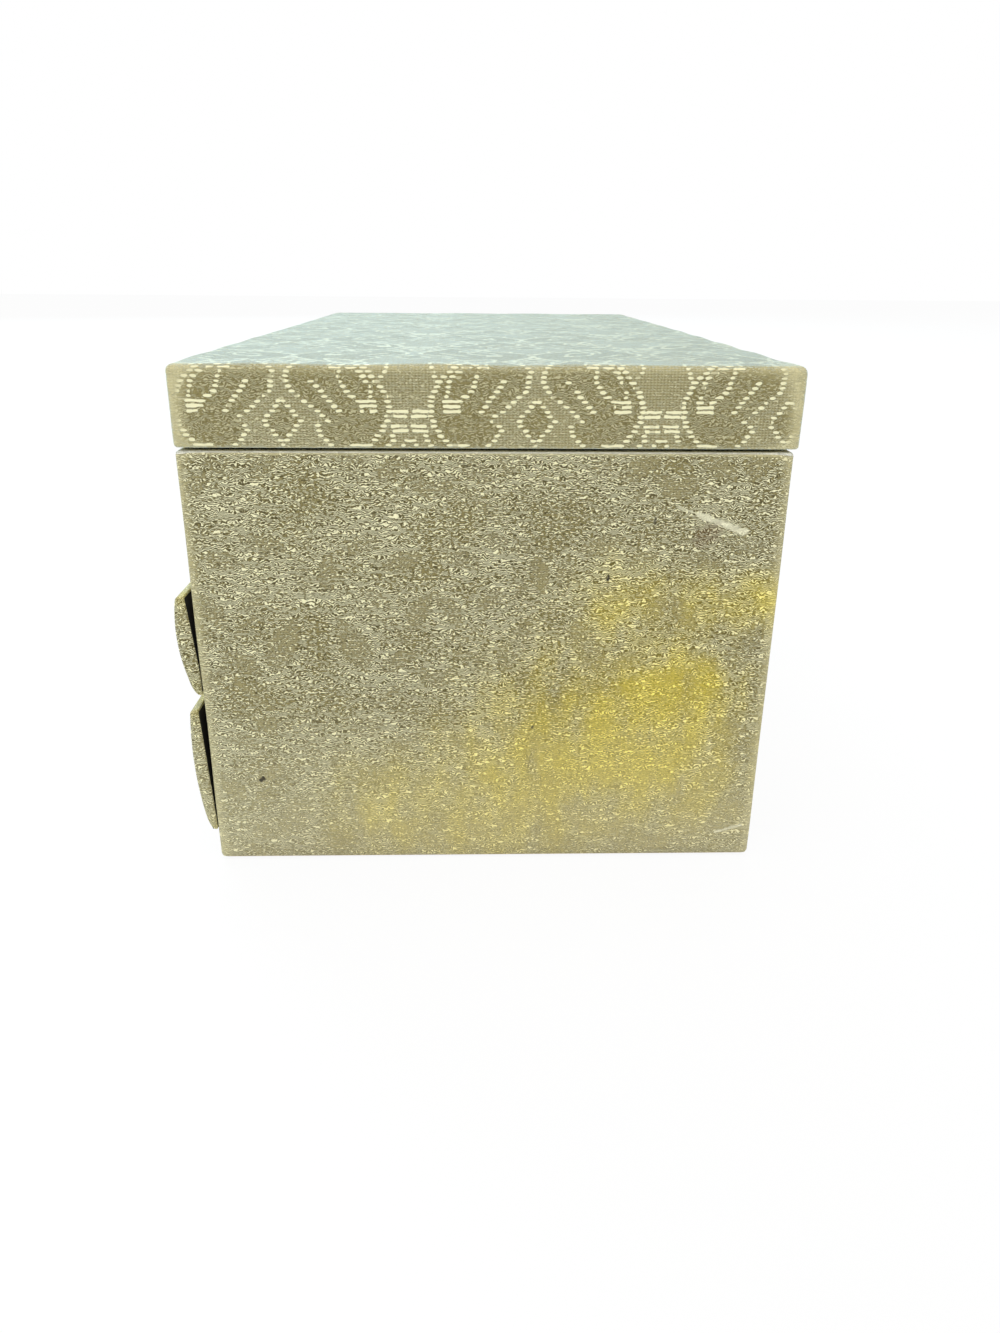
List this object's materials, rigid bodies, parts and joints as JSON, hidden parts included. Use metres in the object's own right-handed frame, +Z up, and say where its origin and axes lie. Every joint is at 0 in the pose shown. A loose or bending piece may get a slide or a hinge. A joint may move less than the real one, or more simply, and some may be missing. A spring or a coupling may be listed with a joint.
{
  "type": "brocade jewellery box",
  "caption": "Brocade-covered jewellery box with a hinged, mirrored lid over a lined compartment and padded drawers below that slide out at the front.",
  "frame": {"origin": "centre of the body's footprint, on the surface that it stands on", "axes": "+X along the box, +Y from the drawer fronts to the hinged back, +Z up"},
  "size_m": [0.2844, 0.1605, 0.126],
  "materials": {
    "brocade": "woven silk brocade, silvery khaki, slight sheen",
    "lining": "red satin",
    "wadding": "white cotton wadding",
    "board": "thin raw board",
    "paper": "dull paper",
    "brass": "aged, satin",
    "mirror": "silvered glass"
  },
  "bodies": {
    "box_body": {"base_paper": "paper", "base_board": "board", "bottom_rail": "board", "lower_drawer_runners": "board", "left_end_board": "board", "right_end_board": "board", "back_board": "board", "upper_front_board": "board", "drawer_shelf": "board", "compartment_floor": "board", "body_brocade": "brocade", "compartment_lining": "lining", "compartment_pad": "lining", "partition": "lining", "ring_rolls": "lining", "left_hinge_body_leaf": "brass", "right_hinge_body_leaf": "brass", "left_hinge_pin": "brass", "right_hinge_pin": "brass", "hinge_body_screws": "brass"},
    "lid": {"lid_front_wall": "board", "lid_back_wall": "board", "lid_left_wall": "board", "lid_right_wall": "board", "lid_top_board": "board", "lid_wadding": "wadding", "lid_brocade": "brocade", "lid_lining": "lining", "mirror": "mirror", "mirror_frame": "lining", "left_hinge_lid_leaf": "brass", "right_hinge_lid_leaf": "brass", "hinge_lid_screws": "brass"},
    "upper_drawer": {"upper_drawer_inner_front": "board", "upper_drawer_left_side": "board", "upper_drawer_right_side": "board", "upper_drawer_back": "board", "upper_drawer_bottom": "board", "upper_drawer_lining": "lining", "upper_front_card": "board", "upper_front_pad": "brocade", "upper_knob": "brass", "upper_knob_screw": "brass"},
    "lower_drawer": {"lower_drawer_inner_front": "board", "lower_drawer_left_side": "board", "lower_drawer_right_side": "board", "lower_drawer_back": "board", "lower_drawer_bottom": "board", "lower_drawer_lining": "lining", "lower_front_card": "board", "lower_front_pad": "brocade", "lower_knob": "brass", "lower_knob_screw": "brass"}
  },
  "joints": [
    {"name": "lid_hinge", "type": "hinge", "parent": "box_body", "child": "lid", "pos_m": [0, 0.0728, 0.10715], "axis": [-1, 0, 0], "range_deg": [0, 95]},
    {"name": "upper_drawer_slide", "type": "slide", "parent": "box_body", "child": "upper_drawer", "axis": [0, -1, 0], "range_m": [0, 0.105]},
    {"name": "lower_drawer_slide", "type": "slide", "parent": "box_body", "child": "lower_drawer", "axis": [0, -1, 0], "range_m": [0, 0.105]}
  ]
}
